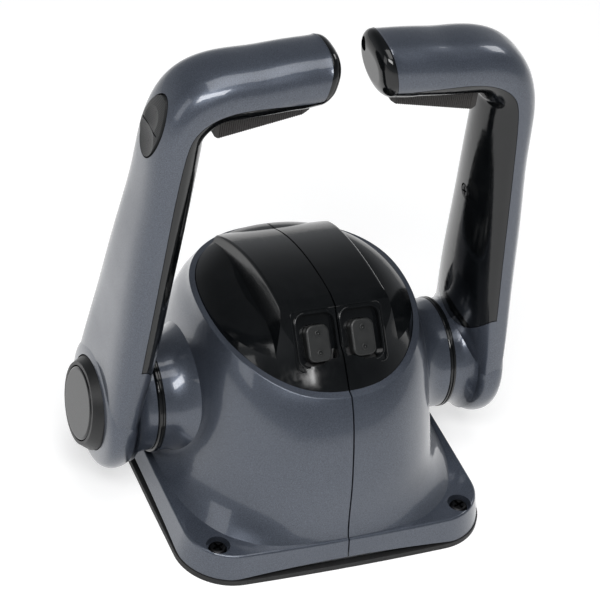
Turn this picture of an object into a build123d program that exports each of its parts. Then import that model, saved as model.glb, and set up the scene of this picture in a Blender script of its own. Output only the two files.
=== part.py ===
from build123d import *
from math import asin, cos, degrees, hypot, pi, radians, sin, sqrt
import os

# Twin-lever binnacle control for two marine engines.
# Millimetres, +Z up, -Y towards the helmsman, +X to starboard.
# The origin is the centre of the base underside, below the lever pivot axis.

# ---------------------------------------------------------------- fits and walls
JOIN_GAP = 0.3            # between covers and the parts they close
RUN_CLEARANCE = 0.04      # radial, shafts and pins in their bushes
SHELL_WALL = 3.0
COVER_WALL = 2.5
SEAM_HALF_GAP = 0.4       # half of the joint line between the two housing shells

# ---------------------------------------------------------------- base
BASE_WIDTH = 169.0
BASE_LENGTH = 199.0
BASE_CORNER_R = 29.0
SIDE_BOW = 0.8            # how far the long sides bow outwards
END_BOW = 2.2             # how far the short ends bow outwards
GASKET_T = 3.0
PLATE_T = 5.0
SKIRT_TOP_Z = 17.0
SKIRT_FOOT_INSET = 0.6    # outer face of the skirt at its foot, from the gasket edge
SKIRT_TOP_INSET = 3.4     # and at the top crease
SKIRT_WALL = 2.6
ARCH_RISE = 3.4           # the skirt's lower edge lifts this much at mid-side
CABLE_HOLE_X = 60.0
CABLE_HOLE_Y = 34.0
CABLE_HOLE_CY = 54.0

PLATE_Z = GASKET_T
PLATE_TOP_Z = PLATE_Z + PLATE_T

# ---------------------------------------------------------------- fasteners
FLANGE_SCREW_X = 67.1
FLANGE_SCREW_Y = 84.2
FLANGE_SCREW_R = 2.5
FLANGE_HEAD_R = 4.8
FLANGE_HEAD_H = 3.2
FLANGE_WELL_R = 6.2
FLANGE_WELL_Z = 12.8
MOUNT_HOLE_X = 52.0
MOUNT_HOLE_Y = 58.0
MOUNT_HOLE_R = 3.0
MOUNT_BOSS_R = 6.5
MOUNT_BOSS_H = 8.0
MOUNT_CLEAR_R = 3.4

# ---------------------------------------------------------------- pivot and housing
PIVOT_Z = 48.6
SEAT_CREST_Y = 15.0       # the cover seat is an arc over the housing, crest here
SEAT_CREST_Z = 103.8
SEAT_R = 324.0
BOSS_END_X = 79.7
BOSS_END_R = 29.5
BOSS_ROOT_X = 52.0
BOSS_ROOT_R = 46.0
BOSS_TOP_Z = PIVOT_Z + BOSS_ROOT_R
BOSS_HOLLOW_R = 22.0
BOSS_END_WALL = 10.0
COLLAR_T = 3.5
COLLAR_GROOVE_W = 0.7
COLLAR_GROOVE_DEPTH = 0.7

# Housing sections: height, half width, front reach, back reach, squareness.
HOUSING_SECTIONS = [
    (5.0, 81.0, 96.6, 96.6, 3.6),
    (15.0, 79.6, 95.6, 95.6, 3.3),
    (20.0, 75.6, 93.6, 93.2, 3.0),
    (28.0, 71.2, 91.8, 90.4, 2.7),
    (44.0, 67.4, 89.4, 86.0, 2.5),
    (62.0, 65.4, 85.0, 80.6, 2.4),
    (79.0, 63.4, 79.2, 74.2, 2.35),
    (92.0, 60.8, 71.6, 67.5, 2.3),
    (104.0, 57.6, 60.5, 60.0, 2.25),
    (126.0, 47.0, 46.0, 48.0, 2.2),
]

# ---------------------------------------------------------------- top cover
COVER_DEPTH = 9.0         # how far the cover tucks in below the shell lip
LIP_ROUND = 0.6           # outer edge of the painted lip round the cover
CREASE_ROUND = 1.6
DOME_SECTIONS = [
    (90.0, 66.0, 74.0, 72.0, 2.3),
    (101.0, 58.0, 61.0, 62.0, 2.25),
    (107.0, 50.0, 53.0, 54.0, 2.2),
    (111.0, 36.0, 42.0, 40.0, 2.1),
]
SPINE_HALF_W = 30.0
SPINE_FOOT_HALF_W = 37.0
SPINE_LEAN_W = 1.5
SPINE_FOOT_Z = 86.0
SPINE_TOP_Z = 128.0
PANEL_LOW = (-57.5, 100.0)      # y, z of the switch panel's lower edge
PANEL_HIGH = (-36.8, 123.6)
PANEL_WALL = 5.0
SPINE_TOP = [(-30.0, 125.4), (-10.0, 125.2), (10.0, 122.6), (30.0, 117.2), (48.0, 108.6), (60.0, 98.0)]
WELL_W = 20.2
WELL_L = 26.0
WELL_R = 4.6
WELL_DEPTH = 3.0
RIM_H = 0.9
RIM_W = 1.2
SWITCH_X = 12.1
SWITCH_DROP = 2.0         # buttons sit this much below the middle of their wells
BUTTON_W = 12.6
BUTTON_L = 19.0
BUTTON_R = 4.0
BUTTON_PROUD = 2.2
BUTTON_T = 4.8
BUTTON_PIVOT_R = 1.5      # round pivot rib under each button, on its axis
BUTTON_PIVOT_DEPTH = 3.2
SWITCH_BODY_T = 12.0
DOT_R = 1.7
DOT_H = 0.5

# ---------------------------------------------------------------- shafts and mechanism
SHAFT_R = 9.0
JOURNAL_R = 6.0
SHAFT_INNER_X = 11.5
JOURNAL_LEN = 6.0
OUTER_BUSH_R = 13.0
INNER_BUSH_R = 9.0
FRAME_T = 4.0
FRAME_X = 12.0            # inner face of each upright
FRAME_FOOT_T = 3.0
FRAME_FOOT_X = 40.0
FRAME_FRONT_Y = -36.0
FRAME_BACK_Y = 30.0
FRAME_HALF_Y = 21.0
SHELF_Z = 82.0
SHELF_T = 6.0
SHELF_HALF_X = 37.0
SHELF_HALF_Y = 9.0
DRIVE_X = 28.0
DRIVE_T = 6.0
DRIVE_R = 30.0
NOTCH_R = 2.6
NOTCH_ANGLES = (-20.0, 0.0, 20.0)
CABLE_ARM_LEN = 27.0
CABLE_ARM_W = 13.0
PLUNGER_R = 4.0
PLUNGER_H = 15.0
SWITCH_BLOCK_Y = 38.0
SWITCH_BLOCK_L = 12.0
SWITCH_BLOCK_H = 14.0

# ---------------------------------------------------------------- levers
HUB_R = 34.6
HUB_IN_X = 89.0
HUB_OUT_X = 111.8
NECK_R = 28.4
NECK_X = BOSS_END_X + COLLAR_T + JOIN_GAP
HUB_WEB_X = 104.6         # floor of the pocket in the outer face
POCKET_R = 24.9
ARM_WALL = 3.6
ARM_FRONT_Y = -33.4
BEND_R = 37.0
BEND_X = 60.4
BEND_Z = 226.2
CORNER_R = 10.0
CORNER_X = 61.5
CORNER_Z = 223.5
OVERALL_HEIGHT = 268.0
CAP_DOME = 7.0
SPIGOT_GAP = 1.2
COVER_END_Z = 76.0
SQUARE_IN = 1.95

# Arm stations: height, inner crest x, outer face x, back y, squareness outside.
ARM_STATIONS = [
    (PIVOT_Z, HUB_IN_X, HUB_OUT_X, HUB_R, 4.6),
    (75.0, 86.2, 110.4, 29.5, 4.2),
    (100.0, 82.4, 108.4, 25.0, 3.8),
    (130.0, 79.2, 106.0, 19.8, 3.4),
    (165.0, 75.8, 102.8, 13.8, 3.1),
    (200.0, 72.6, 99.4, 8.2, 2.9),
]
# Grip stations: underside x and z, top x and z, front y, back y.
GRIP_STATIONS = [
    (44.0, 234.2, 44.0, 264.2, -33.0, 5.4),
    (30.0, 235.0, 28.0, 265.8, -32.6, 5.0),
    (19.0, 235.8, 13.0, 267.0, -32.2, 4.6),
]
SQUARE_GRIP = 2.6
PORT_SPLAY = 4.0          # the port lever's upper end stands this much further out
SPLAY_LOW_Z = 75.0
SPLAY_HIGH_Z = 200.0
# Joint line between the painted arm and the black inner cover, x and z.
COVER_LINE = [(99.6, 60.0), (98.0, 89.0), (94.2, 127.0), (90.5, 166.0), (86.8, 204.0), (84.6, 223.0)]
COVER_LINE_BEND = [(80.4, 236.0), (68.0, 244.2)]
COVER_LINE_GRIP = [(45.0, 246.6), (0.0, 250.4)]


# ---------------------------------------------------------------- hub, ring and button
HUB_BOLT_R = 4.0
HUB_BOLT_LEN = 22.0
HUB_HEAD_R = 8.0
HUB_HEAD_T = 4.2
HEX_R = 3.6
CAP_SINK = 0.9            # middle of the flush cap, below the hub's crest
RING_TILT = 4.9           # the ring's axis leans with the arm's outer face
RING_R = 24.6
RING_BORE_R = 19.6
RING_LIP_R = 21.4
RING_OUT = 117.0
BUTTON_DISC_R = 19.2
BUTTON_DISC_T = 3.0
BUTTON_TRAVEL = 3.0
SPRING_WIRE_R = 0.6
SPRING_COIL_R = 12.0
SPRING_TURNS = 2.0

# ---------------------------------------------------------------- trim rocker
TRIM_ANGLE = 8.0          # place of the trim rocker round the bend
TRIM_Y = -15.0
TRIM_L = 33.0
TRIM_W = 21.0
TRIM_PROUD = 0.9
TRIM_GAP = 0.4            # round the rocker, in the pocket and again on the rocker
TRIM_POCKET = 7.5
TRIM_DEPTH = 5.0
TRIM_PIVOT_R = 1.6        # round pivot rib under the rocker, on its axis
TRIM_DISH_R = 34.0
TRIM_DISH_DEPTH = 0.9
TRIM_GROOVE_W = 0.8
TRIM_GROOVE_DEPTH = 1.0

# ---------------------------------------------------------------- lock trigger, rod and screws
TRIGGER_Y = -16.0
TRIGGER_T = 9.0
TRIGGER_PIN = (29.0, 252.6)
TRIGGER_PIN_R = 2.0
TRIGGER_END_X = 66.5
COVER_SCREW = (165.0, -11.0)       # height and y of the inner cover's screw
COVER_SCREW_R = 2.0
COVER_SCREW_HEAD_R = 3.8
ROD_R = 3.0
ROD_LOW = (98.0, 86.0)
ROD_HIGH = (88.4, 222.0)
ROD_Y = -24.4
RIB_HEIGHTS = (110.0, 196.0)
RIB_T = 4.0
CHANNEL_Z = 92.0
END_SEAT_X = 19.0
END_HEAD_X = 12.4
END_SCREW = (-4.5, 258.0)
END_SCREW_R = 1.8
END_SCREW_HEAD_R = 3.2


def mirrored(shape):
    """The port twin of a starboard piece."""
    return mirror(shape, about=Plane.YZ)


def x_cylinder(radius, x0, x1, y=0.0, z=PIVOT_Z):
    """A cylinder along X between two x positions."""
    middle = (x0 + x1) / 2
    return Pos(middle, y, z) * Rot(0, 90, 0) * Cylinder(radius, abs(x1 - x0))


def z_cylinder(radius, x, y, z0, z1):
    """A cylinder along Z between two heights."""
    return Pos(x, y, (z0 + z1) / 2) * Cylinder(radius, z1 - z0)


def block(x0, x1, y0, y1, z0, z1):
    """A box given by its two corners."""
    centre = Pos((x0 + x1) / 2, (y0 + y1) / 2, (z0 + z1) / 2)
    return centre * Box(x1 - x0, y1 - y0, z1 - z0)


def signed_power(value, power):
    """The power of a magnitude with its sign kept, for squared ovals."""
    return (1 if value >= 0 else -1) * abs(value) ** power


def oval_points(a, b_front, b_back, n_plus, n_minus, count=24):
    """Points of a squared oval: a along the first axis, b along the second."""
    points = []
    for step in range(count):
        angle = 2 * pi * step / count
        c, s = cos(angle), sin(angle)
        n = n_plus if c >= 0 else n_minus
        b = b_back if s >= 0 else b_front
        points.append((a * signed_power(c, 2 / n), b * signed_power(s, 2 / n)))
    return points


def closed_wire(points):
    """A smooth closed wire through the points, all wires alike in their knots."""
    steps = [k / len(points) for k in range(len(points) + 1)]
    return Wire([Edge.make_spline([Vector(*p) for p in points], periodic=True, parameters=steps)])


def housing_wire(section, inset):
    """One level section of the housing, moved inwards by the inset."""
    z, half_x, front, back, n = section
    points = oval_points(half_x - inset, front - inset, back - inset, n, n)
    return closed_wire([(x, y, z) for x, y in points])


def housing_loft(sections, inset):
    """The housing's bell between its first and last section."""
    return Solid.make_loft([housing_wire(s, inset) for s in sections])


def base_outline(inset, z):
    """The base's bowed rectangle with round corners, moved inwards by the inset."""
    half_x = BASE_WIDTH / 2 - inset
    half_y = BASE_LENGTH / 2 - inset
    cx = half_x - SIDE_BOW
    cy = half_y - END_BOW
    sides = [
        ThreePointArc((cx, -cy), (half_x, 0), (cx, cy)),
        ThreePointArc((cx, cy), (0, half_y), (-cx, cy)),
        ThreePointArc((-cx, cy), (-half_x, 0), (-cx, -cy)),
        ThreePointArc((-cx, -cy), (0, -half_y), (cx, -cy)),
    ]
    face = make_face(sides)
    return Pos(0, 0, z) * fillet(face.vertices(), BASE_CORNER_R - inset)


def corners(x, y):
    """The four symmetric places of a bolt pattern."""
    return [(sx * x, sy * y) for sx in (-1, 1) for sy in (-1, 1)]


def seat_cylinder(offset=0.0):
    """Everything below the arc on which the top cover sits."""
    centre_z = SEAT_CREST_Z - SEAT_R
    return Pos(0, SEAT_CREST_Y, centre_z) * Rot(0, 90, 0) * Cylinder(SEAT_R + offset, 2 * BASE_WIDTH)


def half_space(side, gap):
    """The port (-1) or starboard (1) side of the centre plane."""
    inner = side * gap
    outer = side * BASE_WIDTH
    return block(min(inner, outer), max(inner, outer), -BASE_LENGTH, BASE_LENGTH, -10, 2 * OVERALL_HEIGHT)


def cable_hole(z0, z1):
    """The opening through which the engine cables leave downwards."""
    hole = RectangleRounded(CABLE_HOLE_X, CABLE_HOLE_Y, 6.0)
    return Pos(0, CABLE_HOLE_CY, z0) * extrude(hole, z1 - z0)


# ================================================================ base
def make_gasket():
    """Rubber gasket under the whole base."""
    body = extrude(base_outline(0.0, 0.0), GASKET_T)
    body -= cable_hole(-1, GASKET_T + 1)
    for x, y in corners(MOUNT_HOLE_X, MOUNT_HOLE_Y):
        body -= z_cylinder(MOUNT_CLEAR_R, x, y, -1, GASKET_T + 1)
    return body


def make_base_plate():
    """Base plate inside the skirt, with tapped bosses for the mounting bolts."""
    inset = SKIRT_FOOT_INSET + SKIRT_WALL + 2 * JOIN_GAP
    body = extrude(base_outline(inset, PLATE_Z), PLATE_T)
    for x, y in corners(MOUNT_HOLE_X, MOUNT_HOLE_Y):
        body += z_cylinder(MOUNT_BOSS_R, x, y, PLATE_Z, PLATE_TOP_Z + MOUNT_BOSS_H)
    for x, y in corners(MOUNT_HOLE_X, MOUNT_HOLE_Y):
        body -= z_cylinder(MOUNT_HOLE_R, x, y, PLATE_Z - 1, PLATE_TOP_Z + MOUNT_BOSS_H - 2)
    body -= cable_hole(PLATE_Z - 1, PLATE_TOP_Z + 1)
    for x, y in corners(FLANGE_SCREW_X, FLANGE_SCREW_Y):
        body -= z_cylinder(FLANGE_SCREW_R, x, y, PLATE_Z - 1, PLATE_TOP_Z + 1)
    for x, y in frame_screw_places():
        body -= z_cylinder(2.0, x, y, PLATE_Z - 1, PLATE_TOP_Z + 1)
    return body


def pan_head_screw(x, y, seat_z, head_r, head_h, shank_r, tip_z):
    """A pan-head screw with a cross recess, head up."""
    head = Pos(x, y, seat_z + head_h / 2) * Cylinder(head_r, head_h)
    head = fillet(head.edges().group_by(Axis.Z)[-1], head_h * 0.55)
    slot = head_r * 1.25
    depth = head_h * 0.55
    for turn in (0, 90):
        cut = Box(slot, head_r * 0.26, 2 * depth)
        head -= Pos(x, y, seat_z + head_h) * Rot(0, 0, turn + 20) * cut
    return head + z_cylinder(shank_r, x, y, tip_z, seat_z)


def make_flange_screws():
    """Four screws that hold the shells down on the base plate."""
    tip_z = PLATE_Z + 0.4
    return [pan_head_screw(x, y, FLANGE_WELL_Z, FLANGE_HEAD_R, FLANGE_HEAD_H, FLANGE_SCREW_R, tip_z)
            for x, y in corners(FLANGE_SCREW_X, FLANGE_SCREW_Y)]


# ================================================================ housing shells
def boss_profile():
    """Half section of the trumpet-shaped boss around the pivot axis, as x and radius."""
    run = BOSS_END_X - BOSS_ROOT_X
    outer = Spline((BOSS_ROOT_X, BOSS_ROOT_R), (BOSS_ROOT_X + 0.42 * run, BOSS_END_R + 5.0),
                   (BOSS_END_X - 3.0, BOSS_END_R), tangents=((1, -1.2), (1, 0)))
    return outer


def make_boss():
    """Outer form of the starboard boss."""
    outer = boss_profile()
    lines = [outer, Line((BOSS_END_X - 3.0, BOSS_END_R), (BOSS_END_X, BOSS_END_R)),
             Line((BOSS_END_X, BOSS_END_R), (BOSS_END_X, 0)), Line((BOSS_END_X, 0), (BOSS_ROOT_X, 0)),
             Line((BOSS_ROOT_X, 0), (BOSS_ROOT_X, BOSS_ROOT_R))]
    face = Plane.XZ * make_face(lines)
    solid = Pos(0, 0, PIVOT_Z) * revolve(face, Axis.X)
    return solid & block(0, BASE_WIDTH, -BASE_LENGTH, BASE_LENGTH, SKIRT_TOP_Z - 4, OVERALL_HEIGHT)


def housing_form():
    """The closed outer form of both shells together."""
    low = base_outline(SKIRT_FOOT_INSET, PLATE_Z + JOIN_GAP)
    high = base_outline(SKIRT_TOP_INSET, SKIRT_TOP_Z)
    skirt = loft([low, high])
    skirt = fillet(skirt.edges().group_by(Axis.Z)[-1], 1.2)
    body = Part() + skirt + housing_loft(HOUSING_SECTIONS, 0.0)
    boss = make_boss()
    return body + boss + mirrored(boss)


def arch_cutters():
    """Shallow arches under the skirt's four sides."""
    cutters = []
    foot = PLATE_Z + JOIN_GAP
    for half, turn in ((BASE_WIDTH * 0.37, 90), (BASE_LENGTH * 0.38, 0)):
        radius = (half ** 2 + ARCH_RISE ** 2) / (2 * ARCH_RISE)
        roll = Rot(90, 0, 0) if turn == 90 else Rot(0, 90, 0)
        centre_z = foot + ARCH_RISE - radius
        cutters.append(Pos(0, 0, centre_z) * roll * Cylinder(radius, 2 * BASE_LENGTH))
    return cutters


def make_housing():
    """Both shells in one piece, before they are split along the seam."""
    body = housing_form()
    body &= seat_cylinder()
    seat = [f for f in body.faces() if f.geom_type == GeomType.CYLINDER and f.center().Z > BOSS_TOP_Z]
    body = fillet(seat[0].outer_wire().edges(), LIP_ROUND)
    body -= housing_loft(HOUSING_SECTIONS, SHELL_WALL)
    pocket_low = base_outline(SKIRT_FOOT_INSET + SKIRT_WALL, 0.0)
    body -= extrude(pocket_low, PLATE_TOP_Z)
    for cutter in arch_cutters():
        body -= cutter
    for side in (-1, 1):
        hollow_end = side * (BOSS_END_X - BOSS_END_WALL)
        body -= x_cylinder(BOSS_HOLLOW_R, side * 20, hollow_end)
        body -= x_cylinder(OUTER_BUSH_R, hollow_end, side * (BOSS_END_X + 1))
    for x, y in corners(FLANGE_SCREW_X, FLANGE_SCREW_Y):
        body -= z_cylinder(FLANGE_WELL_R, x, y, FLANGE_WELL_Z, PIVOT_Z)
        body -= z_cylinder(FLANGE_SCREW_R + 0.2, x, y, PLATE_Z, FLANGE_WELL_Z + 1)
    return body


def make_collar():
    """Black collar ring between the boss and the lever hub, starboard."""
    ring = x_cylinder(BOSS_END_R + 0.3, BOSS_END_X, BOSS_END_X + COLLAR_T)
    ring -= x_cylinder(SHAFT_R + 0.6, BOSS_END_X - 1, BOSS_END_X + COLLAR_T + 1)
    ring = fillet(ring.edges().filter_by(GeomType.CIRCLE).sort_by(SortBy.RADIUS)[-2:], 0.8)
    groove_x = BOSS_END_X + COLLAR_T / 2
    groove = x_cylinder(BOSS_END_R + 2, groove_x - COLLAR_GROOVE_W / 2, groove_x + COLLAR_GROOVE_W / 2)
    groove -= x_cylinder(BOSS_END_R + 0.3 - COLLAR_GROOVE_DEPTH, groove_x - COLLAR_T, groove_x + COLLAR_T)
    return ring - groove


# ================================================================ top cover
def panel_plane():
    """The plane of the sloping switch panel, y up the slope."""
    y0, z0 = PANEL_LOW
    y1, z1 = PANEL_HIGH
    length = hypot(y1 - y0, z1 - z0)
    normal = (0, -(z1 - z0) / length, (y1 - y0) / length)
    return Plane(origin=(0, (y0 + y1) / 2, (z0 + z1) / 2), x_dir=(1, 0, 0), z_dir=normal)


def spine_form(inset, panel_inset):
    """The raised spine with the sloping panel at its front end."""
    normal = panel_plane().z_dir
    shift_y, shift_z = normal.Y * panel_inset, normal.Z * panel_inset
    low = (PANEL_LOW[0] - shift_y, PANEL_LOW[1] - shift_z)
    high = (PANEL_HIGH[0] - shift_y, PANEL_HIGH[1] - shift_z)
    top = [(y - inset * (1 if y > 40 else 0), z - inset) for y, z in SPINE_TOP]
    if panel_inset > 0:
        top[0] = (max(top[0][0], high[0] + 4.0), top[0][1])
    foot_z = SPINE_FOOT_Z
    edges = [
        Line((low[0], foot_z), low), Line(low, high), Line(high, top[0]),
        Spline(*top), Line(top[-1], (top[-1][0], foot_z)), Line((top[-1][0], foot_z), (low[0], foot_z)),
    ]
    side_view = Plane.YZ * make_face(edges)
    form = extrude(side_view, SPINE_FOOT_HALF_W, both=True)
    w0 = SPINE_FOOT_HALF_W - inset
    w1 = SPINE_HALF_W - inset - SPINE_LEAN_W
    corners_xz = [(-w0, foot_z), (w0, foot_z), (w1, SPINE_TOP_Z), (-w1, SPINE_TOP_Z)]
    front_view = Plane.XZ * Polygon(*corners_xz, align=None)
    return form & extrude(front_view, BASE_LENGTH, both=True)


def cover_form(inset, panel_inset):
    """Outer (inset 0) or inner form of the top cover, both halves together."""
    wires = [housing_wire((z - inset, hx, f, b, n), inset) for z, hx, f, b, n in DOME_SECTIONS]
    form = Part() + Solid.make_loft(wires) + spine_form(inset, panel_inset)
    return form & housing_loft(HOUSING_SECTIONS, SHELL_WALL + JOIN_GAP + inset)


def switch_places():
    """The two wells on the panel, port then starboard."""
    return (-SWITCH_X, SWITCH_X)


def make_cover():
    """The gloss top cover, both halves together."""
    outer = cover_form(0.0, 0.0)
    creases = [e for e in outer.edges() if e.center().Z > 112 and abs(e.center().X) > 20 and e.length > 25]
    outer = fillet(creases, CREASE_ROUND)
    body = outer - seat_cylinder(-COVER_DEPTH)
    body -= cover_form(COVER_WALL, PANEL_WALL)
    plane = panel_plane()
    for x in switch_places():
        rim = plane * Pos(x, 0, -0.5) * extrude(RectangleRounded(WELL_W + 2 * RIM_W, WELL_L + 2 * RIM_W,
                                                                 WELL_R + RIM_W), 0.5 + RIM_H)
        body += fillet(rim.faces().sort_by(Axis.Z)[-1].edges(), RIM_H * 0.6)
    for x in switch_places():
        well = extrude(RectangleRounded(WELL_W, WELL_L, WELL_R), WELL_DEPTH + RIM_H + 1)
        body -= plane * Pos(x, 0, -WELL_DEPTH) * well
        hole = RectangleRounded(BUTTON_W + 2 * JOIN_GAP, BUTTON_L + 2 * JOIN_GAP, BUTTON_R + JOIN_GAP)
        body -= plane * Pos(x, -SWITCH_DROP, -3 * PANEL_WALL) * extrude(hole, 4 * PANEL_WALL)
    return body


def make_switch_button(x):
    """A rocker button with two raised rings and a round pivot rib."""
    plane = panel_plane()
    top = BUTTON_PROUD
    pad = extrude(RectangleRounded(BUTTON_W, BUTTON_L, BUTTON_R), BUTTON_T)
    pad = fillet(pad.edges().group_by(Axis.Z)[-1], 1.2)
    body = Pos(0, 0, top - BUTTON_T) * pad
    for y in (-BUTTON_L * 0.26, BUTTON_L * 0.26):
        dot = Cylinder(DOT_R, 2 * DOT_H)
        body += Pos(0, y, top) * fillet(dot.edges().group_by(Axis.Z)[-1], DOT_H * 0.6)
        body -= Pos(0, y, top + DOT_H) * Sphere(DOT_R * 0.55)
    rib = Pos(0, 0, -BUTTON_PIVOT_DEPTH) * Rot(0, 90, 0) * Cylinder(BUTTON_PIVOT_R, BUTTON_W - 2)
    return plane * Pos(x, -SWITCH_DROP, 0) * (body + rib)


def make_switch_body(x):
    """The sealed rocker switch under each button."""
    plane = panel_plane()
    top = -(PANEL_WALL + 0.05)
    width = BUTTON_W + 6.0
    length = BUTTON_L + 4.0
    body = Pos(0, 0, top - SWITCH_BODY_T / 2) * Box(width, length, SWITCH_BODY_T)
    stem_top = -(BUTTON_PIVOT_DEPTH + BUTTON_PIVOT_R + 0.1)
    body += Pos(0, 0, (top + stem_top) / 2) * Box(6.0, 4.0, stem_top - top)
    return plane * Pos(x, -SWITCH_DROP, 0) * body


# ================================================================ mechanism
def frame_screw_places():
    """Screw places of the mechanism frame's foot."""
    x = FRAME_FOOT_X - 5.0
    return [(side * x, y) for side in (-1, 1) for y in (FRAME_FRONT_Y + 6.0, FRAME_BACK_Y - 6.0)]


def make_frame():
    """Cast frame on the base plate that carries the inner shaft ends and the detents."""
    foot_z = PLATE_TOP_Z
    body = block(-FRAME_FOOT_X, FRAME_FOOT_X, FRAME_FRONT_Y, FRAME_BACK_Y, foot_z, foot_z + FRAME_FOOT_T)
    body += block(-SHELF_HALF_X, SHELF_HALF_X, -SHELF_HALF_Y, SHELF_HALF_Y, SHELF_Z, SHELF_Z + SHELF_T)
    tab = SWITCH_BLOCK_Y + SWITCH_BLOCK_L
    for side in (-1, 1):
        x0, x1 = sorted((side * FRAME_X, side * (FRAME_X + FRAME_T)))
        body += block(x0, x1, -FRAME_HALF_Y, FRAME_HALF_Y, foot_z, SHELF_Z)
        body += block(x0, x1, -tab, tab, PIVOT_Z - SWITCH_BLOCK_H / 2, PIVOT_Z + SWITCH_BLOCK_H / 2)
        body -= x_cylinder(INNER_BUSH_R, x0 - 1, x1 + 1)
        plunger_x = side * (DRIVE_X + DRIVE_T / 2)
        body -= z_cylinder(PLUNGER_R, plunger_x, 0, SHELF_Z - 1, SHELF_Z + SHELF_T + 1)
    for x, y in frame_screw_places():
        body -= z_cylinder(2.1, x, y, foot_z - 1, foot_z + FRAME_FOOT_T + 1)
    return body


def make_frame_screws():
    """Four screws that hold the frame on the base plate."""
    seat = PLATE_TOP_Z + FRAME_FOOT_T
    return [pan_head_screw(x, y, seat, 3.6, 2.4, 2.0, PLATE_Z + 0.4) for x, y in frame_screw_places()]


def make_inner_bushes():
    """Bushes of the two inner shaft journals."""
    bushes = []
    for side in (-1, 1):
        x0, x1 = side * FRAME_X, side * (FRAME_X + FRAME_T)
        bush = x_cylinder(INNER_BUSH_R, x0, x1)
        bushes.append(bush - x_cylinder(JOURNAL_R + RUN_CLEARANCE, x0 - side, x1 + side))
    return bushes


def make_outer_bushes():
    """Bushes in the two housing bosses."""
    bushes = []
    for side in (-1, 1):
        x0, x1 = side * (BOSS_END_X - BOSS_END_WALL), side * BOSS_END_X
        bush = x_cylinder(OUTER_BUSH_R, x0, x1)
        bushes.append(bush - x_cylinder(SHAFT_R + RUN_CLEARANCE, x0 - side, x1 + side))
    return bushes


def make_plungers():
    """Two sprung detent plungers, their noses just clear of the drive plates."""
    plungers = []
    nose_r = PLUNGER_R * 0.75
    nose_z = PIVOT_Z + DRIVE_R + JOIN_GAP + nose_r
    for side in (-1, 1):
        x = side * (DRIVE_X + DRIVE_T / 2)
        body = z_cylinder(PLUNGER_R, x, 0, SHELF_Z, nose_z + PLUNGER_H)
        body += Pos(x, 0, nose_z) * Sphere(nose_r)
        plungers.append(body + z_cylinder(nose_r, x, 0, nose_z, SHELF_Z))
    return plungers


def side_blocks(front):
    """Neutral switches behind the drive plates, or friction blocks in front of them."""
    blocks = []
    y0, y1 = SWITCH_BLOCK_Y, SWITCH_BLOCK_Y + SWITCH_BLOCK_L
    if front:
        y0, y1 = -y1, -y0
    half_h = SWITCH_BLOCK_H / 2
    for side in (-1, 1):
        x0, x1 = sorted((side * (FRAME_X + FRAME_T), side * (DRIVE_X + DRIVE_T)))
        body = block(x0, x1, y0, y1, PIVOT_Z - half_h, PIVOT_Z + half_h)
        blocks.append(fillet(body.edges().filter_by(Axis.X), 1.0))
    return blocks


def make_shaft():
    """Pivot shaft of the starboard lever."""
    body = x_cylinder(SHAFT_R, FRAME_X + FRAME_T + 0.6, HUB_WEB_X - 0.6)
    body += x_cylinder(JOURNAL_R, SHAFT_INNER_X, FRAME_X + FRAME_T + 0.6)
    return body - x_cylinder(HUB_BOLT_R, HUB_WEB_X - HUB_BOLT_LEN, HUB_WEB_X)


def make_hub_bolt():
    """Socket-head bolt that clamps the hub on the starboard shaft."""
    head = x_cylinder(HUB_HEAD_R, HUB_WEB_X, HUB_WEB_X + HUB_HEAD_T)
    head = fillet(head.edges().group_by(Axis.X)[-1], 0.8)
    hexagon = extrude(RegularPolygon(HEX_R, 6), 3.0)
    head -= Pos(HUB_WEB_X + HUB_HEAD_T, 0, PIVOT_Z) * Rot(0, -90, 0) * hexagon
    return head + x_cylinder(HUB_BOLT_R, HUB_WEB_X - HUB_BOLT_LEN + 1, HUB_WEB_X)


def make_drive_plate():
    """Drive plate with detent notches in its rim and the cable arm below."""
    x0, x1 = DRIVE_X, DRIVE_X + DRIVE_T
    body = x_cylinder(DRIVE_R, x0, x1)
    arm = block(x0, x1, -CABLE_ARM_W / 2, CABLE_ARM_W / 2, PIVOT_Z - CABLE_ARM_LEN, PIVOT_Z)
    body += arm + x_cylinder(CABLE_ARM_W / 2, x0, x1, 0, PIVOT_Z - CABLE_ARM_LEN)
    for angle in NOTCH_ANGLES:
        y = (DRIVE_R + 0.6) * sin(radians(angle))
        z = PIVOT_Z + (DRIVE_R + 0.6) * cos(radians(angle))
        body -= x_cylinder(NOTCH_R, x0 - 1, x1 + 1, y, z)
    body -= x_cylinder(3.0, x0 - 1, x1 + 1, 0, PIVOT_Z - CABLE_ARM_LEN)
    body -= x_cylinder(SHAFT_R, x0 - 1, x1 + 1)
    return body


# ================================================================ levers
def lever_wire(p_in, p_out, y_front, y_back, inset, square):
    """One section of the lever between its inner crest and its outer face."""
    dx, dz = p_out[0] - p_in[0], p_out[1] - p_in[1]
    reach = hypot(dx, dz)
    ux, uz = dx / reach, dz / reach
    cx, cz = (p_in[0] + p_out[0]) / 2, (p_in[1] + p_out[1]) / 2
    cy = (y_front + y_back) / 2
    half_depth = (y_back - y_front) / 2 - inset
    points = oval_points(reach / 2 - inset, half_depth, half_depth, square, SQUARE_IN)
    return closed_wire([(cx + a * ux, cy + b, cz + a * uz) for a, b in points])


def grip_end_wire(slide, inset):
    """The grip's last section, slid along the grip; positive is towards the tip."""
    x_in, z_in, x_out, z_out, y_front, y_back = GRIP_STATIONS[-1]
    return lever_wire((x_in - slide, z_in), (x_out - slide, z_out), y_front, y_back, inset, SQUARE_GRIP)


def splay_at(z, splay):
    """How far the arm stands out at a height, for a given splay of its upper end."""
    return splay * min(max((z - SPLAY_LOW_Z) / (SPLAY_HIGH_Z - SPLAY_LOW_Z), 0.0), 1.0)


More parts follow.
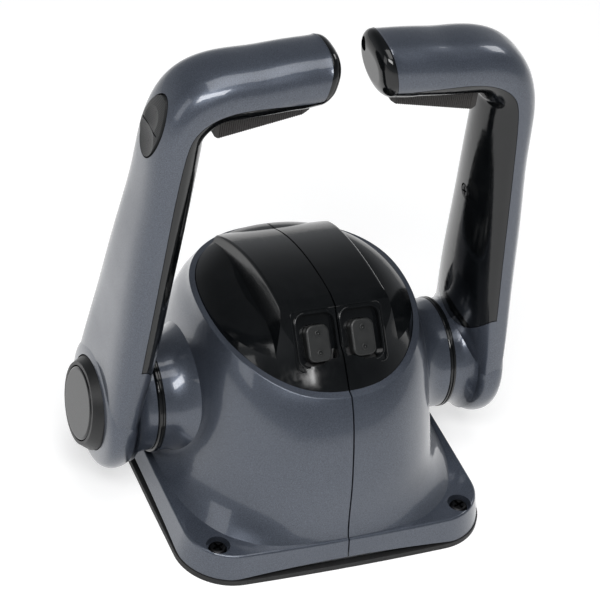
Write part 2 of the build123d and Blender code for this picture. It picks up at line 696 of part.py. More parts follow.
def lever_form(splay, inset=0.0):
    """The closed form of a starboard lever above its pivot."""
    wires = []
    for z, x_in, x_out, y_back, square in ARM_STATIONS:
        out = splay_at(z, splay)
        wires.append(lever_wire((x_in + out, z), (x_out + out, z), ARM_FRONT_Y, y_back, inset, square))
    for angle in (8.0, 36.0, 64.0, 90.0):
        c, s = cos(radians(angle)), sin(radians(angle))
        p_in = (splay + CORNER_X + CORNER_R * c, CORNER_Z + CORNER_R * s)
        p_out = (splay + BEND_X + BEND_R * c, BEND_Z + BEND_R * s)
        wires.append(lever_wire(p_in, p_out, ARM_FRONT_Y + 0.2, 6.0, inset, SQUARE_GRIP))
    for x_in, z_in, x_out, z_out, y_front, y_back in GRIP_STATIONS[:-1]:
        p_in, p_out = (splay + x_in, z_in), (splay + x_out, z_out)
        wires.append(lever_wire(p_in, p_out, y_front, y_back, inset, SQUARE_GRIP))
    wires.append(grip_end_wire(-splay, inset))
    return Solid.make_loft(wires)


def hub_form():
    """The round lower end of the lever, of the same section as the arm's foot."""
    a = (HUB_OUT_X - HUB_IN_X) / 2
    cx = (HUB_OUT_X + HUB_IN_X) / 2
    square = ARM_STATIONS[0][4]
    points = [(cx + x, r) for x, r in oval_points(a, HUB_R, HUB_R, square, SQUARE_IN) if r > -0.001]
    rim = Spline(*points)
    face = Plane.XZ * make_face([rim, Line(rim @ 1, rim @ 0)])
    disc = Pos(0, 0, PIVOT_Z) * revolve(face, Axis.X)
    neck_outer = Spline((NECK_X, NECK_R), (NECK_X + 5.0, NECK_R + 0.3), (HUB_IN_X + 5.5, HUB_R - 2.0),
                        tangents=((1, 0), (1, 1.1)))
    lines = [neck_outer, Line(neck_outer @ 1, (HUB_IN_X + 5.5, 0)), Line((HUB_IN_X + 5.5, 0), (NECK_X, 0)),
             Line((NECK_X, 0), (NECK_X, NECK_R))]
    neck = Pos(0, 0, PIVOT_Z) * revolve(Plane.XZ * make_face(lines), Axis.X)
    return Part() + disc + neck


def cover_region(splay, gap):
    """The space of the black inner cover: inboard of the joint line and above its round end."""
    line = [(x - gap + splay_at(z, splay), z) for x, z in COVER_LINE]
    bend = [(x - gap * 0.7 + splay, z - gap * 0.7) for x, z in COVER_LINE_BEND]
    grip = [(x + splay, z - gap) for x, z in COVER_LINE_GRIP]
    joint = Spline(*line, *bend, *grip)
    low, far = line[0], grip[-1]
    edges = [joint, Line(far, (far[0], low[1])), Line((far[0], low[1]), low)]
    side = extrude(Plane.XZ * make_face(edges), BASE_LENGTH / 2, both=True)
    centre_y = (ARM_FRONT_Y + 27.0) / 2
    half_w = 35.0 - gap
    bottom = COVER_END_Z + gap
    outline = Pos(centre_y, bottom + half_w) * Circle(half_w)
    outline += Pos(centre_y, (bottom + half_w + 300) / 2) * Rectangle(2 * half_w, 300 - bottom - half_w)
    return side & extrude(Plane.YZ * outline, HUB_OUT_X)


def crest_x(z, splay):
    """The inner crest of the arm at a height between two stations."""
    out = splay_at(z, splay)
    rows = ARM_STATIONS
    for (z0, a0, *_), (z1, a1, *_) in zip(rows, rows[1:]):
        if z0 <= z <= z1:
            return a0 + (a1 - a0) * (z - z0) / (z1 - z0) + out
    return rows[-1][1] + out


def rod_cylinder(splay, radius, extra=0.0):
    """A cylinder on the lock rod's line, which leans with the arm."""
    low_x, high_x = ROD_LOW[0] + splay_at(ROD_LOW[1], splay), ROD_HIGH[0] + splay
    dx, dz = high_x - low_x, ROD_HIGH[1] - ROD_LOW[1]
    length = hypot(dx, dz)
    middle = Pos((low_x + high_x) / 2, ROD_Y, (ROD_LOW[1] + ROD_HIGH[1]) / 2)
    return middle * Rot(0, degrees(asin(dx / length)), 0) * Cylinder(radius, length + 2 * extra)


def cover_screw_place(splay):
    """Seat of the inner cover's screw: x of its crest, y and z."""
    z, y = COVER_SCREW
    return crest_x(z, splay), y, z


def grip_mouth(splay, inset):
    """The straight open end of the grip's hollow."""
    return Solid.make_loft([grip_end_wire(slide - splay, inset) for slide in (-1.0, 8.0)])


def make_arm(splay):
    """Painted lever arm: a channel open inboard, with its hub."""
    form = lever_form(splay)
    channel = lever_form(splay, ARM_WALL) & block(0, BASE_WIDTH, -60, 60, CHANNEL_Z, 300)
    body = Part() + form + hub_form() - channel - grip_mouth(splay, ARM_WALL) - cover_region(splay, 0.0)
    inner_form = lever_form(splay, ARM_WALL - 0.6)
    for z in RIB_HEIGHTS:
        x_low = crest_x(z, splay) + 12.0
        body += inner_form & block(x_low, BASE_WIDTH, -60, 60, z, z + RIB_T)
    body -= rod_cylinder(splay, ROD_R + RUN_CLEARANCE, 7.0)
    sx, sy, sz = cover_screw_place(splay)
    body += x_cylinder(4.0, sx + COVER_WALL + 2.3, sx + 25.0, sy, sz)
    body -= x_cylinder(COVER_SCREW_R, sx, sx + 20.0, sy, sz)
    ex, ez = END_SCREW
    seat_x = END_SEAT_X + splay
    body += x_cylinder(3.6, seat_x, seat_x + 15.0, ex, ez) & lever_form(splay, 1.0)
    body -= x_cylinder(END_SCREW_R, seat_x - 1, seat_x + 12.0, ex, ez)
    body -= Pos(splay, 0, 0) * make_trigger_pin()
    body -= x_cylinder(SHAFT_R, NECK_X - 1, HUB_WEB_X - 0.6)
    body -= x_cylinder(HUB_BOLT_R + 0.1, NECK_X, HUB_WEB_X + 1)
    body -= x_cylinder(HUB_HEAD_R + 0.6, HUB_WEB_X, HUB_WEB_X + 30)
    return body - ring_cylinder(POCKET_R, HUB_WEB_X + 0.8, HUB_WEB_X + 30)


def ring_place(x):
    """Place on the tilted ring axis, its Z pointing outwards to starboard."""
    reach = x - HUB_WEB_X
    tilt = radians(RING_TILT)
    middle = Pos(HUB_WEB_X + reach * cos(tilt), 0, PIVOT_Z + reach * sin(tilt))
    return middle * Rot(0, 90 - RING_TILT, 0)


def ring_cylinder(radius, x0, x1):
    """A cylinder on the tilted ring axis between two reaches."""
    return ring_place((x0 + x1) / 2) * Cylinder(radius, abs(x1 - x0))


def make_pivot_ring():
    """Raised ring around the throttle-only button, modelled to starboard."""
    x0 = HUB_WEB_X + 0.9
    height = RING_OUT - x0
    ring = ring_place(RING_OUT - height / 2) * Cone(RING_R + 4.0, RING_LIP_R, height)
    ring &= ring_cylinder(RING_R, x0, RING_OUT)
    return ring - ring_cylinder(RING_BORE_R, x0 - 1, RING_OUT + 2)


def make_throttle_button():
    """Push button inside the ring, on its stem."""
    top = RING_OUT + 0.6
    disc = ring_place(top - BUTTON_DISC_T / 2) * Cylinder(BUTTON_DISC_R, BUTTON_DISC_T)
    disc = fillet(disc.edges().filter_by(GeomType.CIRCLE).sort_by(Axis.X)[-1:], 1.4)
    guide_top = top - BUTTON_DISC_T
    guide = ring_cylinder(BUTTON_DISC_R, guide_top - 2.0, guide_top) - ring_cylinder(BUTTON_DISC_R - 2.0,
                                                                                   guide_top - 2.0, guide_top)
    return disc + guide


def make_button_spring():
    """Return spring of the throttle-only button, at its pressed length."""
    low = HUB_WEB_X + 0.8 + SPRING_WIRE_R + JOIN_GAP
    high = RING_OUT + 0.6 - BUTTON_DISC_T - BUTTON_TRAVEL - SPRING_WIRE_R - JOIN_GAP
    path = Helix((high - low) / SPRING_TURNS, high - low, SPRING_COIL_R)
    spring = sweep(Plane(path @ 0, z_dir=path % 0) * Circle(SPRING_WIRE_R), path)
    return ring_place(low) * spring


def make_hub_cap():
    """Flush cap over the starboard hub bolt."""
    cap = ring_cylinder(POCKET_R - JOIN_GAP / 2, HUB_WEB_X + 1.0, HUB_WEB_X + 30)
    cap -= ring_cylinder(HUB_HEAD_R + 3.0, HUB_WEB_X, HUB_WEB_X + HUB_HEAD_T + 1.0)
    lean = degrees(asin((HUB_OUT_X - ARM_STATIONS[1][2]) / (2 * POCKET_R)))
    reach = 30.0
    inside = Pos(HUB_OUT_X - CAP_SINK, 0, PIVOT_Z) * Rot(0, -lean, 0) * Pos(-reach, 0, 0) * Box(2 * reach, 99, 99)
    return cap & inside


def trim_plane():
    """Plane of the trim rocker on the bend, x along the arm, z outwards."""
    c, s = cos(radians(TRIM_ANGLE)), sin(radians(TRIM_ANGLE))
    origin = (BEND_X + BEND_R * c, TRIM_Y, BEND_Z + BEND_R * s)
    return Plane(origin=origin, x_dir=(-s, 0, c), z_dir=(c, 0, s))


def trim_pocket():
    """Oval pocket for the trim rocker, modelled to starboard."""
    oval = Ellipse(TRIM_L / 2 + TRIM_GAP, TRIM_W / 2 + TRIM_GAP)
    return trim_plane() * Pos(0, 0, -TRIM_POCKET) * extrude(oval, 30)


def make_trim_rocker():
    """Oval two-way trim rocker that follows the bend's surface."""
    plane = trim_plane()
    body = plane * Pos(0, 0, -TRIM_DEPTH) * extrude(Ellipse(TRIM_L / 2 - TRIM_GAP, TRIM_W / 2 - TRIM_GAP), 30)
    body &= lever_form(0.0, -TRIM_PROUD)
    surface = TRIM_PROUD - (TRIM_L / 4) ** 2 / (2 * BEND_R)
    for x in (-TRIM_L / 4, TRIM_L / 4):
        body -= plane * Pos(x, 0, surface - TRIM_DISH_DEPTH + TRIM_DISH_R) * Sphere(TRIM_DISH_R)
    body -= plane * Pos(0, 0, TRIM_PROUD) * Box(TRIM_GROOVE_W, TRIM_W, 2 * TRIM_GROOVE_DEPTH)
    return body + plane * Pos(0, 0, -TRIM_DEPTH) * Rot(90, 0, 0) * Cylinder(TRIM_PIVOT_R, TRIM_W / 2)


def make_trim_switch():
    """Switch under the trim rocker, in the arm's channel."""
    plane = trim_plane()
    body = plane * Pos(0, 0, -TRIM_POCKET - 2.0) * Box(24.0, 11.0, 4.0)
    stem_top = -(TRIM_DEPTH + TRIM_PIVOT_R + 0.1)
    return body + plane * Pos(0, 0, (stem_top - TRIM_POCKET) / 2) * Box(5.0, 8.0, stem_top + TRIM_POCKET)


def make_trigger():
    """Ribbed lock trigger under the starboard grip."""
    px, pz = TRIGGER_PIN
    end = TRIGGER_END_X
    points = [(19.0, 234.6), (22.0, 232.2), (end - 2.0, 223.6), (end, 225.2), (end, 240.0),
              (end - 4.0, 243.0), (px + 9.0, pz - 6.0), (px + 4.4, pz + 4.2), (px - 4.4, pz + 4.2), (19.4, 240.0)]
    face = Polygon(*points, align=None)
    face = fillet(face.vertices(), 1.0)
    body = Pos(0, TRIGGER_Y + TRIGGER_T / 2, 0) * extrude(Plane.XZ * face, TRIGGER_T)
    return body - Pos(px, TRIGGER_Y, pz) * Rot(90, 0, 0) * Cylinder(TRIGGER_PIN_R + RUN_CLEARANCE, 20)


def trigger_pin_y():
    """Middle of the grip, front to back."""
    return (GRIP_STATIONS[1][4] + GRIP_STATIONS[1][5]) / 2


def trigger_pin_length():
    """The trigger pin reaches into both walls of the grip."""
    return GRIP_STATIONS[1][5] - GRIP_STATIONS[1][4] - 2 * ARM_WALL + 3.6


def make_trigger_pin():
    """Hinge pin of the lock trigger."""
    px, pz = TRIGGER_PIN
    return Pos(px, trigger_pin_y(), pz) * Rot(90, 0, 0) * Cylinder(TRIGGER_PIN_R, trigger_pin_length())


def make_lock_rod(splay):
    """Lock rod in the arm's channel."""
    return rod_cylinder(splay, ROD_R)


def make_inner_cover(splay):
    """Gloss black cover that closes the arm's channel on the inboard side."""
    form = lever_form(splay)
    body = (form & cover_region(splay, JOIN_GAP)) - lever_form(splay, COVER_WALL)
    body -= grip_mouth(splay, COVER_WALL)
    half_t = TRIGGER_T / 2 + 0.5
    slot_end = splay + TRIGGER_END_X + 3.5
    body -= block(15.0, slot_end, TRIGGER_Y - half_t, TRIGGER_Y + half_t, 200, 248)
    sx, sy, sz = cover_screw_place(splay)
    body += x_cylinder(COVER_SCREW_HEAD_R + 2.0, sx + 1.6, sx + COVER_WALL + 2.2, sy, sz) & form
    body -= x_cylinder(COVER_SCREW_HEAD_R + 0.4, sx - 6.0, sx + 1.8, sy, sz)
    return body - x_cylinder(COVER_SCREW_R + 0.1, sx, sx + 9.0, sy, sz)


def make_cover_screw(splay):
    """Recessed screw of the inner cover."""
    sx, sy, sz = cover_screw_place(splay)
    screw = pan_head_screw(0, 0, 0, COVER_SCREW_HEAD_R, 1.9, COVER_SCREW_R, -16.0)
    return Pos(sx + 1.8, sy, sz) * Rot(0, -90, 0) * screw


def make_end_cap():
    """Domed gloss cap on the grip's end, with a spigot inside the grip."""
    steps = ((0.0, 0.15), (0.45, 0.9), (0.8, 3.4), (1.0, 8.5))
    wires = [grip_end_wire(JOIN_GAP / 2 + CAP_DOME * reach, inset) for reach, inset in steps]
    body = Part() + Solid.make_loft(wires)
    spigot = Part() + Solid.make_loft([grip_end_wire(slide, ARM_WALL + SPIGOT_GAP) for slide in (1.0, -3.0)])
    half_t = TRIGGER_T / 2 + 1.0
    spigot -= block(0, 40, TRIGGER_Y - half_t, TRIGGER_Y + half_t, 200, 250)
    ex, ez = END_SCREW
    spigot -= x_cylinder(4.0, 0, 60, ex, ez)
    body += spigot
    body -= x_cylinder(END_SCREW_HEAD_R + 0.4, 0, END_HEAD_X, ex, ez)
    return body - x_cylinder(END_SCREW_R + 0.1, 0, END_SEAT_X + 10, ex, ez)


def make_end_screw():
    """Screw of the end cap."""
    ex, ez = END_SCREW
    screw = pan_head_screw(0, 0, 0, END_SCREW_HEAD_R, 1.8, END_SCREW_R, -14.0)
    return Pos(END_HEAD_X, ex, ez) * Rot(0, -90, 0) * screw


# ================================================================ assembly
def build():
    """All pieces by node name."""
    nodes = {
        "base_gasket": make_gasket(),
        "base_plate": make_base_plate(),
        "flange_screws": make_flange_screws(),
        "mechanism_frame": make_frame(),
        "frame_screws": make_frame_screws(),
        "inner_bushes": make_inner_bushes(),
        "outer_bushes": make_outer_bushes(),
        "detent_plungers": make_plungers(),
        "neutral_switches": side_blocks(False),
        "friction_blocks": side_blocks(True),
    }
    housing = make_housing()
    cover = make_cover()
    for name, side in (("port", -1), ("starboard", 1)):
        nodes[f"{name}_housing_shell"] = housing & half_space(side, SEAM_HALF_GAP)
        nodes[f"{name}_top_cover"] = cover & half_space(side, SEAM_HALF_GAP)
        nodes[f"{name}_switch_button"] = make_switch_button(side * SWITCH_X)
        nodes[f"{name}_switch_body"] = make_switch_body(side * SWITCH_X)
    pieces = {
        "collar_ring": make_collar(),
        "pivot_shaft": make_shaft(),
        "hub_bolt": make_hub_bolt(),
        "drive_plate": make_drive_plate(),
    }
    grip_pieces = {
        "end_cap": make_end_cap(),
        "end_cap_screw": make_end_screw(),
        "lock_trigger": make_trigger(),
        "trigger_pin": make_trigger_pin(),
    }
    outwards = Pos(PORT_SPLAY, 0, 0)
    for name, shape in pieces.items():
        nodes[f"port_{name}"] = mirrored(shape)
        nodes[f"starboard_{name}"] = shape
    for name, shape in grip_pieces.items():
        nodes[f"port_{name}"] = mirrored(outwards * shape)
        nodes[f"starboard_{name}"] = shape
    for name, maker in (("inner_cover", make_inner_cover), ("cover_screw", make_cover_screw),
                        ("lock_rod", make_lock_rod)):
        nodes[f"port_{name}"] = mirrored(maker(PORT_SPLAY))
        nodes[f"starboard_{name}"] = maker(0.0)
    nodes["starboard_lever_arm"] = make_arm(0.0)
    nodes["port_lever_arm"] = mirrored(make_arm(PORT_SPLAY) - outwards * trim_pocket())
    nodes["port_pivot_ring"] = mirrored(make_pivot_ring())
    nodes["port_throttle_button"] = mirrored(make_throttle_button())
    nodes["port_button_spring"] = mirrored(make_button_spring())
    nodes["starboard_hub_cap"] = make_hub_cap()
    nodes["port_trim_rocker"] = mirrored(outwards * make_trim_rocker())
    nodes["port_trim_switch"] = mirrored(outwards * make_trim_switch())
    return nodes


def solids_of(shape):
    """All solids of a piece or of a group of pieces."""
    if isinstance(shape, (list, tuple)):
        return [solid for item in shape for solid in solids_of(item)]
    return list(shape.solids())


os.makedirs("parts", exist_ok=True)
for node_name, node_shape in build().items():
    solids = solids_of(node_shape)
    export_step(Compound(children=solids) if len(solids) > 1 else solids[0], f"parts/{node_name}.step")
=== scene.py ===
# %% [markdown]
# # A twin-lever control for two boat engines
#
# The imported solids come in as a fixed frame: housing, covers, levers, buttons and screws, each at
# its real size. This lesson gives every one of them a finish, and models the few pieces whose
# small shape a solid modeller would only make slowly, such as the ribs of the triggers.

# %% Load the frame
from math import cos, pi, radians, sin

import bmesh
import bpy
from mathutils import Matrix, Vector


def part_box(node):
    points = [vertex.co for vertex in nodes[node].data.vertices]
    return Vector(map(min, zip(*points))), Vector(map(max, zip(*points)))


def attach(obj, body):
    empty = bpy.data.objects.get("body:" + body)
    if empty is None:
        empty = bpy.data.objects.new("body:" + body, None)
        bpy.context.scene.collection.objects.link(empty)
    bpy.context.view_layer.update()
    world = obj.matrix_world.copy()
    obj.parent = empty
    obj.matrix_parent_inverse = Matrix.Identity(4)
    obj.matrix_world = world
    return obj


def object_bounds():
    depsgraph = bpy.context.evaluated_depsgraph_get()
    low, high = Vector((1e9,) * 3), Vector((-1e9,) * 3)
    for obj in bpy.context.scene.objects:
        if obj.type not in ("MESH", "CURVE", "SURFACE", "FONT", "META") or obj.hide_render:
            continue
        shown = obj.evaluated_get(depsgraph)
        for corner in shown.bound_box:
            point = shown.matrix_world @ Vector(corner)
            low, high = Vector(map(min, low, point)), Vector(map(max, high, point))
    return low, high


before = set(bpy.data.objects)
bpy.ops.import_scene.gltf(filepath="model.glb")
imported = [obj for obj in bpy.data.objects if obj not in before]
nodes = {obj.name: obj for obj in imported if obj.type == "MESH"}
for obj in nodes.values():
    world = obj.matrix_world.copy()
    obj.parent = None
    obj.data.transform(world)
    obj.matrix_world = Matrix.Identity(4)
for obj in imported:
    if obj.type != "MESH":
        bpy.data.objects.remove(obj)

scene = bpy.context.scene
cad_low, cad_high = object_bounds()
MM = 0.001
SIDES = {"port": -1, "starboard": 1}
size_mm = [round(x / MM, 1) for x in cad_high - cad_low]
print("pieces in the frame:", len(nodes), "size in mm:", size_mm)

# %% [markdown]
# ## Camera
#
# A long lens from well above and in front of the port side, which keeps the two levers nearly
# parallel. A Track To constraint would aim a camera quickly, but it always holds the horizon level.
# Here the camera's three axes are worked out from azimuth, elevation and roll, so the roll is kept.

# %% Camera
CAMERA_PLACE = Vector((-0.48772, -0.95777, 0.93782))
AZIMUTH = radians(27.157)
ELEVATION = radians(37.933)
ROLL = radians(9.441)
LENS_MM = 158.6
SENSOR_MM = 36.0
SHIFT = (-0.0144, -0.0043)
NEAR_AND_FAR = (0.05, 50.0)


def make_camera():
    """The main camera, its three axes worked out from azimuth, elevation and roll."""
    look = Vector((sin(AZIMUTH) * cos(ELEVATION), cos(AZIMUTH) * cos(ELEVATION), -sin(ELEVATION)))
    level = Vector((cos(AZIMUTH), -sin(AZIMUTH), 0.0))
    upright = level.cross(look)
    right = level * cos(ROLL) + upright * sin(ROLL)
    top = upright * cos(ROLL) - level * sin(ROLL)
    data = bpy.data.cameras.new("camera")
    data.lens = LENS_MM
    data.sensor_width = SENSOR_MM
    data.shift_x, data.shift_y = SHIFT
    data.clip_start, data.clip_end = NEAR_AND_FAR
    camera = bpy.data.objects.new("camera", data)
    turn = Matrix((right, top, -look)).transposed()
    camera.matrix_world = Matrix.Translation(CAMERA_PLACE) @ turn.to_4x4()
    scene.collection.objects.link(camera)
    scene.camera = camera
    return camera


camera = make_camera()
print("camera at", [round(x, 3) for x in camera.location])

# %% [markdown]
# ## Node helpers
#
# A finish is a small network of nodes. It could be drawn by hand in the shader editor, but these
# helpers keep each finish short and alike: `new_material` gives a Principled shader, and `noise`,
# `ramp`, `two_colours` and `bump` add the nodes used most. All patterns read Object coordinates,
# which are metres in the object's own space, so a grain of half a millimetre has the same size on
# every piece, and no piece needs to be unwrapped.

# %% Node helpers
GRAIN_TO_METRE = 1.0 / MM


def new_material(name, colour, roughness, metallic=0.0):
    """A material with a Principled shader, and its tree."""
    material = bpy.data.materials.new(name)
    material.use_nodes = True
    tree = material.node_tree
    shader = tree.nodes["Principled BSDF"]
    shader.inputs["Base Color"].default_value = (*colour, 1.0)
    shader.inputs["Roughness"].default_value = roughness
    shader.inputs["Metallic"].default_value = metallic
    return material, tree, shader


def place(tree):
    """Object coordinates of a tree, made once."""
    found = [n for n in tree.nodes if n.bl_idname == "ShaderNodeTexCoord"]
    node = found[0] if found else tree.nodes.new("ShaderNodeTexCoord")
    return node.outputs["Object"]


def noise(tree, size_mm, detail=3.0, contrast=0.5, stretch=None):
    """A noise whose blots are about size_mm across, in its Fac output."""
    node = tree.nodes.new("ShaderNodeTexNoise")
    node.inputs["Scale"].default_value = GRAIN_TO_METRE / size_mm
    node.inputs["Detail"].default_value = detail
    node.inputs["Roughness"].default_value = contrast
    source = place(tree)
    if stretch:
        mapping = tree.nodes.new("ShaderNodeMapping")
        mapping.inputs["Scale"].default_value = stretch
        tree.links.new(source, mapping.inputs["Vector"])
        source = mapping.outputs["Vector"]
    tree.links.new(source, node.inputs["Vector"])
    return node.outputs["Fac"]


def ramp(tree, source, low, high, from_low=0.3, from_high=0.7):
    """A number that runs from low to high while the source runs over its middle range."""
    node = tree.nodes.new("ShaderNodeMapRange")
    node.inputs["From Min"].default_value = from_low
    node.inputs["From Max"].default_value = from_high
    node.inputs["To Min"].default_value = low
    node.inputs["To Max"].default_value = high
    tree.links.new(source, node.inputs["Value"])
    return node.outputs["Result"]


def two_colours(tree, factor, first, second):
    """A colour between two, by a factor from 0 to 1."""
    node = tree.nodes.new("ShaderNodeMix")
    node.data_type = "RGBA"
    tree.links.new(factor, node.inputs["Factor"])
    node.inputs["A"].default_value = (*first, 1.0)
    node.inputs["B"].default_value = (*second, 1.0)
    return node.outputs["Result"]


def bump(tree, shader, height, depth_mm, strength=1.0):
    """Bump of a real depth on a shader, over any bump that it already has."""
    node = tree.nodes.new("ShaderNodeBump")
    node.inputs["Strength"].default_value = strength
    node.inputs["Distance"].default_value = depth_mm * MM
    normal = shader.inputs["Normal"]
    if normal.links:
        tree.links.new(normal.links[0].from_socket, node.inputs["Normal"])
    tree.links.new(height, node.inputs["Height"])
    tree.links.new(node.outputs["Normal"], normal)


# %% [markdown]
# ## The grey paint
#
# The castings are sprayed with a metallic grey and a clear coat. Metallic paint has aluminium
# flakes a few hundredths of a millimetre across, so from a hand's distance it shows as a fine
# sparkle whose brightness changes from spot to spot. A plain grey metal would lack both the
# sparkle and the clean gloss above it. So a sharp fine noise drives the colour of the base, a wide
# soft one its roughness, and a third makes it faintly uneven. The bump is on the base alone: the
# coat on top stays smooth and gives the clean reflections.

# %% Grey paint
PAINT_METALLIC = 0.55
FLAKE_MM = 0.35
FLAKE_DARK = (0.050, 0.059, 0.079)
FLAKE_LIGHT = (0.108, 0.125, 0.160)
CLOUD_MM = 30.0
CLOUD_ROUGHNESS = (0.30, 0.40)
UNEVEN_MM = 1.6
UNEVEN_DEPTH_MM = 0.012
COAT_WEIGHT = 0.8
COAT_ROUGHNESS = 0.06


def make_grey_paint():
    """Metallic grey paint under a clear coat."""
    material, tree, shader = new_material(
        "metallic_grey_paint", (0.08, 0.09, 0.11), 0.36, PAINT_METALLIC)
    flakes = noise(tree, FLAKE_MM, detail=2.0, contrast=0.8)
    clouds = noise(tree, CLOUD_MM, detail=2.0)
    share = ramp(tree, flakes, 0.0, 1.0, from_low=0.38, from_high=0.66)
    sparkle = two_colours(tree, share, FLAKE_DARK, FLAKE_LIGHT)
    tree.links.new(sparkle, shader.inputs["Base Color"])
    tree.links.new(ramp(tree, clouds, *CLOUD_ROUGHNESS), shader.inputs["Roughness"])
    shader.inputs["Coat Weight"].default_value = COAT_WEIGHT
    shader.inputs["Coat Roughness"].default_value = COAT_ROUGHNESS
    uneven = noise(tree, UNEVEN_MM, detail=2.0)
    bump(tree, shader, uneven, UNEVEN_DEPTH_MM, strength=0.5)
    return material


grey_paint = make_grey_paint()
print("made", grey_paint.name, "with nodes:", len(grey_paint.node_tree.nodes))

# %% [markdown]
# ## Black mouldings
#
# The top cover, the inner covers and the grip ends are moulded in a glossy black. One low
# roughness would do from afar, but gloss plastic is never quite even: it has faint hairlines from
# wiping and a slow waviness from the mould. So a noise drawn out along one axis varies the
# roughness a little, and a very shallow wide bump bends the reflections.

# %% Gloss black
GLOSS_DARK = (0.0028, 0.0034, 0.0040)
GLOSS_LIGHT = (0.0052, 0.0060, 0.0068)
GLOSS_ROUGHNESS = (0.07, 0.17)
WIPE_MM = 2.4
WIPE_STRETCH = (1.0, 0.22, 1.0)
TINT_MM = 14.0
WAVE_MM = 22.0
WAVE_DEPTH_MM = 0.02


def make_black_gloss():
    """Gloss black plastic with faint wiping marks."""
    material, tree, shader = new_material("black_gloss_moulding", (0.0035, 0.0042, 0.0048), 0.12)
    wiped = noise(tree, WIPE_MM, detail=4.0, contrast=0.6, stretch=WIPE_STRETCH)
    tree.links.new(ramp(tree, wiped, *GLOSS_ROUGHNESS), shader.inputs["Roughness"])
    share = ramp(tree, noise(tree, TINT_MM), 0.0, 1.0)
    tint = two_colours(tree, share, GLOSS_DARK, GLOSS_LIGHT)
    tree.links.new(tint, shader.inputs["Base Color"])
    shader.inputs["Specular IOR Level"].default_value = 0.5
    waves = noise(tree, WAVE_MM, detail=1.0, contrast=0.4)
    bump(tree, shader, waves, WAVE_DEPTH_MM, strength=0.35)
    return material


black_gloss = make_black_gloss()
print("made", black_gloss.name, "with nodes:", len(black_gloss.node_tree.nodes))

# %% [markdown]
# Satin black has a fine grain, which the mould gets by spark erosion. It is on the ring round the
# push button, and close relatives of it are on the rocker buttons and the triggers, which fingers
# touch. The gasket and the switches inside are duller. They all differ only in tone, roughness and
# the size and depth of the grain, so one maker with those numbers serves better than five
# materials made apart.

# %% Satin and matte black
TONE_MM = 6.0
GRAIN_SPREAD = (-0.07, 0.09)


def make_grained_plastic(name, dark, light, roughness, grain_mm, depth_mm):
    """Textured plastic: two tones, a roughness that varies and a fine grain."""
    material, tree, shader = new_material(name, dark, roughness)
    grain = noise(tree, grain_mm, contrast=0.6)
    tone = two_colours(tree, ramp(tree, noise(tree, TONE_MM), 0.0, 1.0), dark, light)
    tree.links.new(tone, shader.inputs["Base Color"])
    smoothest, roughest = (roughness + change for change in GRAIN_SPREAD)
    tree.links.new(ramp(tree, grain, smoothest, roughest), shader.inputs["Roughness"])
    bump(tree, shader, grain, depth_mm, strength=0.6)
    return material


satin_black = make_grained_plastic(
    "satin_black", (0.008, 0.0085, 0.009), (0.013, 0.0135, 0.014), 0.42, 0.5, 0.02)
button_black = make_grained_plastic(
    "button_black", (0.012, 0.013, 0.013), (0.018, 0.019, 0.019), 0.38, 0.4, 0.015)
trigger_plastic = make_grained_plastic(
    "trigger_plastic", (0.028, 0.025, 0.024), (0.042, 0.038, 0.036), 0.5, 0.6, 0.03)
switch_plastic = make_grained_plastic(
    "switch_plastic", (0.02, 0.02, 0.021), (0.03, 0.03, 0.031), 0.55, 0.8, 0.02)
gasket_rubber = make_grained_plastic(
    "gasket_rubber", (0.006, 0.006, 0.0065), (0.011, 0.011, 0.0115), 0.62, 0.9, 0.04)
grained = (satin_black, button_black, trigger_plastic, switch_plastic, gasket_rubber)
print("made", ", ".join(material.name for material in grained))

# %% [markdown]
# The trim rocker has fine level ribs, so that a thumb feels where it is. They could be modelled,
# as the ribs of the triggers are, but they never reach the outline, so a bump from a wave of bands
# is enough. A wave node at scale 1 has a band every pi / 10 metres, which is where the scale below
# comes from.

# %% Ribbed black
ROCKER_RIB_MM = 0.75
ROCKER_RIB_SCALE = pi / (10.0 * ROCKER_RIB_MM * MM)
ROCKER_RIB_DEPTH_MM = 0.12


def make_ribbed_black():
    """Button black with fine level ribs, for the trim rocker."""
    material = make_grained_plastic(
        "rocker_black", (0.010, 0.011, 0.0115), (0.016, 0.017, 0.018), 0.36, 0.4, 0.01)
    tree = material.node_tree
    shader = tree.nodes["Principled BSDF"]
    wave = tree.nodes.new("ShaderNodeTexWave")
    wave.bands_direction = "Z"
    wave.inputs["Scale"].default_value = ROCKER_RIB_SCALE
    tree.links.new(place(tree), wave.inputs["Vector"])
    bump(tree, shader, wave.outputs["Fac"], ROCKER_RIB_DEPTH_MM, strength=0.7)
    return material


rocker_black = make_ribbed_black()
print("made", rocker_black.name, "with ribs every", ROCKER_RIB_MM, "mm")

# %% [markdown]
# The bushes inside are a self-lubricating plastic, left in its natural pale colour. It has the
# same moulded grain as the blacks, so the same maker makes it.

# %% Pale bush plastic
bush_plastic = make_grained_plastic(
    "bush_plastic", (0.62, 0.60, 0.55), (0.70, 0.68, 0.63), 0.4, 0.8, 0.01)
print("made", bush_plastic.name)

# %% [markdown]
# ## Bare and blackened metal
#
# Plates are rolled and brushed, and the cast base is dull and even. Shafts and pins are turned, so
# real ones have rings round them. The shader's anisotropy could bend the highlight of such metal,
# but it needs tangents on every piece; a noise stretched along the grain gives much the same look
# from its coordinates alone. Blackened screws are the same steel with a dark oxide.

# %% Metals
METAL_GRAIN_MM = 0.5
METAL_GRAIN_DEPTH_MM = 0.008
METAL_SPREAD = (-0.08, 0.10)
RINGS_ROUND_X = (1.0, 0.1, 0.1)
LINES_ALONG_Y = (1.0, 0.08, 1.0)
EVEN = (1.0, 1.0, 1.0)


